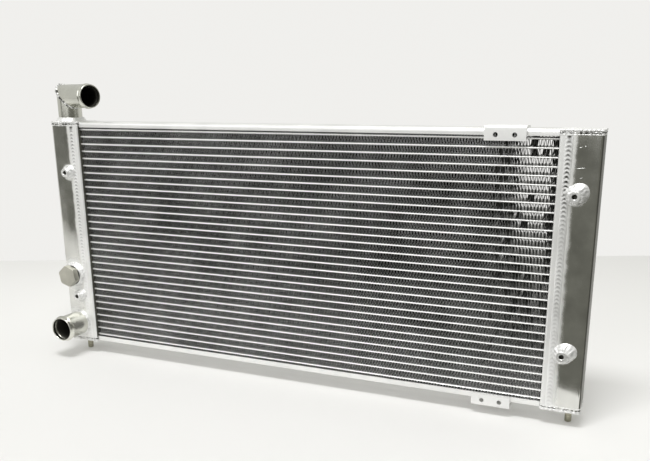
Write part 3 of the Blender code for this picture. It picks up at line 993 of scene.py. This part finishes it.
def build_cap(side, name, level):
    node = f"cap_{name}_{level}"
    low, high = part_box(node)
    inner = low.x if side > 0 else high.x
    outer = (high.x if side > 0 else low.x) - side * CAP_OVERHANG
    first = (min(inner, outer), low.y + CAP_OVERHANG)
    last = (max(inner, outer), high.y - CAP_OVERHANG)
    outline = rounded_rectangle(first, last, CAP_CORNER, CAP_CORNER_STEPS)
    plate = prism(outline, low.z, high.z, lambda u, v, w: (u, v, w))
    cap = add_piece(f"cap_plate_{name}_{level}", *plate, "flange", "sheet", (node,))
    if (name, level) == ("left", "top"):
        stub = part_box("inlet_stub")
        foot = Vector(((stub[0].x + stub[1].x) / 2, 0, low.z))
        drill(cap, foot, UP, INLET_RADIUS - PIPE_WALL, INLET_CUT)
    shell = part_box(f"tank_{name}")
    up, edge = (1, shell[1].z) if level == "top" else (-1, shell[0].z)
    edge_bead(f"cap_weld_{name}_{level}", outline, (low.z + high.z) / 2, **CAP_WELD)
    # Painted shadow: a dark bead just below the cap's edge stands for the shade in the gap between cap and
    # shell
    edge_bead(f"cap_shadow_{name}_{level}", outline, edge - up * CAP_SHADOW_BELOW, **CAP_SHADOW)
    edge_bead(f"cap_toe_{name}_{level}", outline, edge - up * CAP_TOE_BELOW, **CAP_TOE)


def edge_bead(name, outline, z, radius, pitch, proud, lumps, soot_and_shade_amount):
    """A bead round a cap's edge, laid all the way round."""
    path = []
    normals = []
    for k, (x, y) in enumerate(outline):
        u, v = outline[(k + 1) % len(outline)]
        steps = max(1, int(math.hypot(u - x, v - y) / CAP_BEAD_STEP))
        normal = Vector((v - y, x - u, 0)).normalized()
        for i in range(steps):
            share = i / steps
            path.append(Vector((x + (u - x) * share, y + (v - y) * share, z)) + normal * (proud - radius))
            normals.append(normal)
    for point in path:
        point.z += CAP_BEAD_WANDER * wobble(point.x * ROPE_LUMP_RATE, point.y * ROPE_LUMP_RATE, z * 50)
    rope(name, path, normals, radius * CAP_BEAD_SHARE, pitch, z * 40, True, lumps=lumps, soot_and_shade_amount=soot_and_shade_amount)


def build_marks():
    """Spatter and a scratch on the plain tank's face."""
    low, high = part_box("tank_right")
    for index, (across, below, length, radius) in enumerate(MARKS):
        run = []
        for i in range(MARK_STEPS + 1):
            share = i / MARK_STEPS
            fade = radius * (0.2 + 0.8 * math.sin(math.pi * share))
            x = low.x + across + length * share
            z = high.z - below + MARK_RISE * share
            run.append(Vector((x, low.y + radius - MARK_SUNK * fade, z)))
        rope(f"tank_mark_{index + 1}", run, [FRONT] * len(run), radius, MARK_PITCH, index + 80.0, False)


def build_seams():
    for side, name in ((-1, "left"), (1, "right")):
        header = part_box(f"header_{name}")
        low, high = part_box(f"tank_{name}")
        header_lip = max(abs(header[0].x), abs(header[1].x))
        tank_lip = min(abs(low.x), abs(high.x))
        centre = side * ((header_lip + tank_lip) / 2 + SEAM_OUTWARD)
        ends = (low.z + SEAM_ENDS[0], high.z - SEAM_ENDS[1])
        for outward, face in ((-1, "front"), (1, "back")):
            seed = 3.1 * side + 1.7 * outward
            seam(f"seam_weld_{name}_{face}", centre, outward * high.y, outward, *ends, seed, SEAM_SOOT_AND_SHADE[name])


# Side channels and brackets


def build_channel(name, sign):
    low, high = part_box(f"side_channel_{name}")
    web = high.z if sign > 0 else low.z
    outline = channel_outline(high.y, high.z - low.z, CHANNEL_WALL, CHANNEL_BEND)
    bar = prism(outline, low.x, high.x, lambda u, v, w: (w, u, web - sign * v))
    add_piece(f"side_rail_{name}", *bar, "channel", "sheet", (f"side_channel_{name}",))


def build_bracket(name, sign):
    low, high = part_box(f"bracket_{name}")
    outline = angle_outline(high.y - low.y, high.z - low.z, BRACKET_WALL, BRACKET_BEND)
    ledge = high.z if sign > 0 else low.z
    bar = prism(outline, low.x, high.x, lambda u, v, w: (w, low.y + u, ledge - sign * v))
    bracket = add_piece(f"bracket_plate_{name}", *bar, "bracket", "bracket", (f"bracket_{name}",))
    below = BRACKET_HOLE_BELOW_LEDGE if sign > 0 else BRACKET_HOLE_ABOVE_LEDGE
    middle = (low.x + high.x) / 2
    for step in (-0.5, 0.5):
        centre = Vector((middle + step * BRACKET_HOLE_SPACING, low.y, ledge - sign * below))
        for obj in (bracket, bpy.data.objects[f"side_rail_{name}"]):
            drill(obj, centre, FRONT, BRACKET_HOLE_RADIUS, BRACKET_CUT, 48)
    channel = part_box(f"side_channel_{name}")
    web = channel[1].z if sign > 0 else channel[0].z
    for step, x in ((-1, low.x + BRACKET_WELD_IN), (1, high.x - BRACKET_WELD_IN)):
        run = []
        for i in range(BRACKET_WELD_STEPS + 1):
            y = high.y - BRACKET_WELD_START - BRACKET_WELD_RUN * i / BRACKET_WELD_STEPS
            run.append(Vector((x, y, web + sign * BRACKET_WELD_LIFT)))
        normals = [Vector((step, 0, sign)).normalized()] * len(run)
        bead = f"bracket_weld_{name}_{step + 2}"
        rope(bead, run, normals, 0.0010, 0.0028, seed=7 + step + sign, closed=False, slot="bracket")


# Pipes


def hose_end(radius, mouth, bead):
    """The outside of a hose end from its wall over the rolled bead to the lip, then the inside back."""
    outer = []
    inner = []
    for i in range(BEAD_STEPS + 1):
        t = 2 * i / BEAD_STEPS - 1
        along = mouth - BEAD_FROM_MOUTH + BEAD_HALF_WIDTH * t
        rise = bead * 0.5 * (1 + math.cos(math.pi * t))
        outer.append((radius + rise, along))
        inner.append((radius - PIPE_WALL + BEAD_INSIDE * rise, along))
    lip = arc((radius - PIPE_WALL / 2, mouth - PIPE_WALL / 2), PIPE_WALL / 2, 0, 180, LIP_STEPS)
    return outer + [(r, min(d, mouth)) for r, d in lip] + inner[::-1]


def build_inlet():
    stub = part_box("inlet_stub")
    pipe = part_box("inlet_pipe")
    port_x = (stub[0].x + stub[1].x) / 2
    axis_z = pipe[1].z - BEAD_RISE - INLET_RADIUS
    corner = Vector((port_x, 0, axis_z))
    flow = Vector((math.cos(INLET_TURN), math.sin(INLET_TURN), 0))
    across = UP.cross(flow)
    base = stub[0].z - axis_z
    bore = INLET_RADIUS - PIPE_WALL

    def ring(radius, distance, axis, lean, mitred):
        points = []
        for turn in round_angles(PIPE_STEPS):
            u = radius * math.cos(turn)
            along = distance - u if mitred else distance
            points.append(corner + lean * u + across * (radius * math.sin(turn)) + axis * along)
        return points

    rings = [ring(INLET_RADIUS, base, UP, flow, False), ring(INLET_RADIUS, 0, UP, flow, True)]
    rings += [ring(bore, 0, UP, flow, True), ring(bore, base, UP, flow, False)]
    riser = add_piece("inlet_riser", *loft(rings, True), "pipe", "pipe", ("inlet_stub",), sharp=40)
    paint_bore_shade(riser, corner, UP, INLET_RADIUS - PIPE_WALL / 2, 1.0)
    rings = [ring(INLET_RADIUS, MITRE_GAP, flow, UP, True)]
    rings += [ring(r, d, flow, UP, False) for r, d in hose_end(INLET_RADIUS, INLET_LENGTH, INLET_BEAD)]
    rings.append(ring(bore, MITRE_GAP, flow, UP, True))
    hose = add_piece("inlet_hose_pipe", *loft(rings, True), "pipe", "pipe", ("inlet_pipe",), sharp=40)
    paint_bore_shade(hose, corner, flow, INLET_RADIUS - PIPE_WALL / 3, INLET_LENGTH - INLET_RIM_UNSHADED)
    path = []
    normals = []
    for turn in round_angles(MITRE_STEPS):
        u = INLET_RADIUS * math.cos(turn)
        v = INLET_RADIUS * math.sin(turn)
        normals.append((flow * u + across * v - UP * u).normalized())
        path.append(corner + flow * u + across * v - UP * u - normals[-1] * MITRE_SUNK)
    rope(
        "inlet_mitre_weld", path, normals, radius=0.0018, pitch=0.0046, seed=11.0, closed=True,
        slot="pipe", lumps=0.5, soot_and_shade_amount=0.8,
    )
    collar(
        "inlet_root_weld", Vector((port_x, 0, stub[0].z)), UP, INLET_RADIUS, toe=INLET_RADIUS + 0.0044,
        height=0.0050, seed=21.0, ripples=26, slot="pipe", soot_and_shade_amount=0.1,
    )


def build_outlet():
    centre = port_on("outlet_pipe", "tank_left")
    length = centre.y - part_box("outlet_pipe")[0].y
    end = hose_end(OUTLET_RADIUS, length, BEAD_RISE)
    pipe = lathe([(OUTLET_RADIUS, 0.0)] + end + [(OUTLET_RADIUS - PIPE_WALL, 0.0)], centre, FRONT)
    hose = add_piece("outlet_hose_pipe", *pipe, "pipe", "pipe", ("outlet_pipe",), sharp=40)
    paint_bore_shade(hose, centre, FRONT, OUTLET_RADIUS - PIPE_WALL / 2, length - OUTLET_RIM_UNSHADED)
    collar(
        "outlet_root_weld", centre, FRONT, OUTLET_RADIUS, toe=OUTLET_RADIUS + 0.0030,
        height=0.0036, seed=31.0, ripples=30, slot="pipe",
    )


# Plug, bosses and pins


def build_seat(centre):
    rim = centre.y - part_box("plug_seat")[0].y
    ring = [(SEAT_RADIUS, 0.0), (SEAT_RADIUS, rim - SEAT_CHAMFER), (SEAT_RADIUS - SEAT_CHAMFER, rim)]
    ring.append((SEAT_BORE + 0.0005, rim))
    turns = threaded(SEAT_BORE - 0.0001, rim - 0.0005, 0.0, SHANK_PITCH)
    thread = (len(ring), len(ring) + len(turns) - 1, SHANK_PITCH, THREAD_DEPTH)
    block = lathe(ring + turns, centre, FRONT, thread=thread)
    add_piece("seat_ring", *block, "boss", "boss", ("plug_seat",), sharp=40)
    collar(
        "seat_weld", centre, FRONT, SEAT_RADIUS, toe=SEAT_RADIUS + 0.0032,
        height=0.0046, seed=41.0, ripples=24, swell=0.0012, towards=3.6,
    )


def build_seal(centre, low, high):
    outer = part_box("plug_washer")[1].x - centre.x - SEAL_EDGE
    soft = arc((outer, low + SEAL_EDGE), SEAL_EDGE, -90, 0, 4)
    soft += arc((outer, high - SEAL_EDGE), SEAL_EDGE, 0, 90, 4)
    ring = lathe(soft + [(SEAT_BORE, high), (SEAT_BORE, low)], centre, FRONT)
    add_piece("plug_seal", *ring, "rubber", "washer", ("plug_washer",), "washer")


def build_shank(centre, tip, head):
    core = SHANK_RADIUS - THREAD_DEPTH
    turns = threaded(core, tip + 0.0006, head - 0.0012, SHANK_PITCH)
    profile = [(SHANK_RADIUS - 0.0012, tip)] + turns + [(core, head - 0.0006), (core, head + 0.001)]
    thread = (1, len(turns), SHANK_PITCH, THREAD_DEPTH)
    turned = lathe(profile, centre, FRONT, closed=False, thread=thread)
    add_piece("plug_shank", *turned, "plug", "plug", ("hex_plug",), "plug", sharp=40)


def build_hexagon(centre, head, top):
    corner = HEX_FLATS / 2 / math.cos(math.pi / 6)
    angles = [HEX_TURN + math.radians(60 * k) for k in range(6)]
    hexagon = [(centre.x + corner * math.cos(a), centre.z + corner * math.sin(a)) for a in angles]
    block = prism(hexagon, centre.y - head, centre.y - top, lambda u, v, w: (u, w, v))
    hexhead = add_piece("plug_hex", *block, "plug", "plug", ("hex_plug",), "plug", sharp=25)
    wide = corner + 0.0008
    trim = [(corner - 0.0006, head - 0.0001), (wide, head + 0.0008)]
    trim += [(wide, top - HEX_CHAMFER), (corner - HEX_CHAMFER, top + 0.0001)]
    carve(hexhead, "INTERSECT", *lathe(trim, centre, FRONT, 128, False), sharp=25)


def build_plug():
    centre = port_on("plug_seat", "tank_left")
    seal_high, seal_low = (centre.y - corner.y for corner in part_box("plug_washer"))
    top, tip = (centre.y - corner.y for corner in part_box("hex_plug"))
    head = seal_high + HEAD_GAP
    build_seat(centre)
    build_seal(centre, seal_low, seal_high)
    build_shank(centre, tip, head)
    build_hexagon(centre, head, top)


def build_boss(side, name, level):
    node = f"boss_{name}_{level}"
    centre = port_on(node, f"tank_{name}")
    tip = centre.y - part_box(node)[0].y
    outer = [(BOSS_RADIUS, 0.0), (BOSS_RADIUS, tip - BOSS_CHAMFER), (BOSS_RADIUS - BOSS_CHAMFER, tip)]
    outer += [(BOSS_HOLE + 0.0006, tip), (BOSS_HOLE + 0.0001, tip - 0.0005)]
    turns = threaded(BOSS_HOLE - 0.0001, tip - 0.0006, tip - BOSS_HOLE_DEPTH, BOSS_PITCH, 8)
    profile = outer + turns + [(0.0002, tip - BOSS_HOLE_DEPTH - 0.0008)]
    thread = (len(outer), len(outer) + len(turns) - 1, BOSS_PITCH, BOSS_THREAD_DEPTH)
    solid = lathe(profile, centre, FRONT, 64, False, thread)
    boss = add_piece(f"threaded_{node}", *solid, "boss", "boss", (node,), sharp=40)
    paint_bore_shade(boss, centre, FRONT, BOSS_HOLE + 0.0005, tip - BOSS_CHAMFER)
    seed = 50 + 7 * side + (3 if level == "top" else 0)
    collar(
        f"boss_weld_{name}_{level}", centre, FRONT, BOSS_RADIUS, toe=BOSS_WELD_TOE[name],
        height=0.0066, seed=seed, ripples=5, swell=BOSS_WELD_SWELL[name], towards=0.6,
    )


def build_pin(name):
    low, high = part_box(f"pin_{name}")
    centre = Vector(((low.x + high.x) / 2, 0, low.z))
    profile = [(PIN_RADIUS - PIN_CHAMFER, 0), (PIN_RADIUS - 0.0003, PIN_CHAMFER - 0.0002)]
    profile += [(PIN_RADIUS, PIN_CHAMFER), (PIN_RADIUS, high.z - low.z)]
    add_piece(f"locating_pin_{name}", *lathe(profile, centre, UP, 64, False), "pin", "pin", (f"pin_{name}",))
    collar(
        f"pin_weld_{name}", Vector((centre.x, 0, high.z)), -UP, PIN_RADIUS, toe=PIN_RADIUS + 0.0024,
        height=0.0016, seed=70.0, ripples=10, slot="pin",
    )


# The stage


def table_top():
    """A matt, pale board with painted light: darker near its front and paler towards its far edge."""
    made, tree, shader = new_material("table_top")
    shader["Roughness"].default_value = TABLE_ROUGHNESS
    shader["Specular IOR Level"].default_value = TABLE_SHINE
    fade = ramp(tree, split(tree, object_place(tree))["Y"], *TABLE_PAINTED_LIGHT_FADE)
    link(tree, mixed(tree, fade, TABLE_COLOUR, TABLE_FAR_COLOUR), shader["Base Color"])
    return made


def build_stage():
    """A pale table. The world is the wall behind it."""
    along = Vector((math.cos(TABLE_TURN), math.sin(TABLE_TURN), 0))
    inward = Vector((-along.y, along.x, 0))
    front = Vector((TABLE_FRONT[0], TABLE_FRONT[1], 0))
    near = [front - along * TABLE_REACH, front + along * TABLE_REACH]
    far = [point + inward * TABLE_DEPTH for point in reversed(near)]
    mesh = bpy.data.meshes.new("table")
    mesh.from_pydata([tuple(corner) for corner in near + far], [], [(0, 1, 2, 3)])
    mesh.materials.append(table_top())
    table = bpy.data.objects.new("table", mesh)
    STAGE.objects.link(table)


def build_world():
    """A pale room that is dim in front below head height, as metal facing the viewer shows it."""
    world = bpy.data.worlds.new("soft_room")
    world.use_nodes = True
    tree = world.node_tree
    place = tree.nodes.new("ShaderNodeTexCoord").outputs["Generated"]
    facing = measured(tree, "DOT_PRODUCT", place, Vector(DIM_TOWARDS).normalized())
    ahead = ramp(tree, facing, *DIM_SIDES)
    below = ramp(tree, split(tree, place)["Z"], *DIM_TOP)
    room = mixed(tree, calculate(tree, "MULTIPLY", ahead, below), ROOM_COLOUR, DIM_COLOUR)
    seen = tree.nodes.new("ShaderNodeLightPath").outputs["Is Camera Ray"]
    link(tree, mixed(tree, seen, room, BACKDROP_COLOUR), tree.nodes["Background"].inputs["Color"])
    bpy.context.scene.world = world


def build_light():
    build_world()
    for name, place, target, size, power in LIGHTS:
        data = bpy.data.lights.new(name, "AREA")
        data.shape = "RECTANGLE"
        data.size, data.size_y = size
        data.energy = power
        obj = bpy.data.objects.new(name, data)
        obj.location = place
        obj.rotation_euler = (Vector(target) - Vector(place)).to_track_quat("-Z", "Y").to_euler()
        obj.visible_camera = False
        STAGE.objects.link(obj)


def build_camera():
    data = bpy.data.cameras.new("camera")
    data.lens = CAMERA_LENS
    data.shift_x, data.shift_y = CAMERA_SHIFT
    data.clip_start = CAMERA_NEAREST
    obj = bpy.data.objects.new("camera", data)
    obj.location = CAMERA_PLACE
    obj.rotation_euler = [math.radians(turn) for turn in CAMERA_TURN]
    STAGE.objects.link(obj)
    bpy.context.scene.camera = obj
    bpy.context.scene.view_settings.view_transform = "Standard"


build_camera()
build_stage()
build_light()
dress_nodes()
build_fins()
for hand, word in ((-1, "left"), (1, "right")):
    build_header(hand, word)
    build_tank(hand, word)
    for level in ("top", "bottom"):
        build_cap(hand, word, level)
        build_boss(hand, word, level)
    build_pin(word)
build_seams()
build_marks()
for word, sign in (("top", 1), ("bottom", -1)):
    build_channel(word, sign)
    build_bracket(word, sign)
build_inlet()
build_outlet()
build_plug()
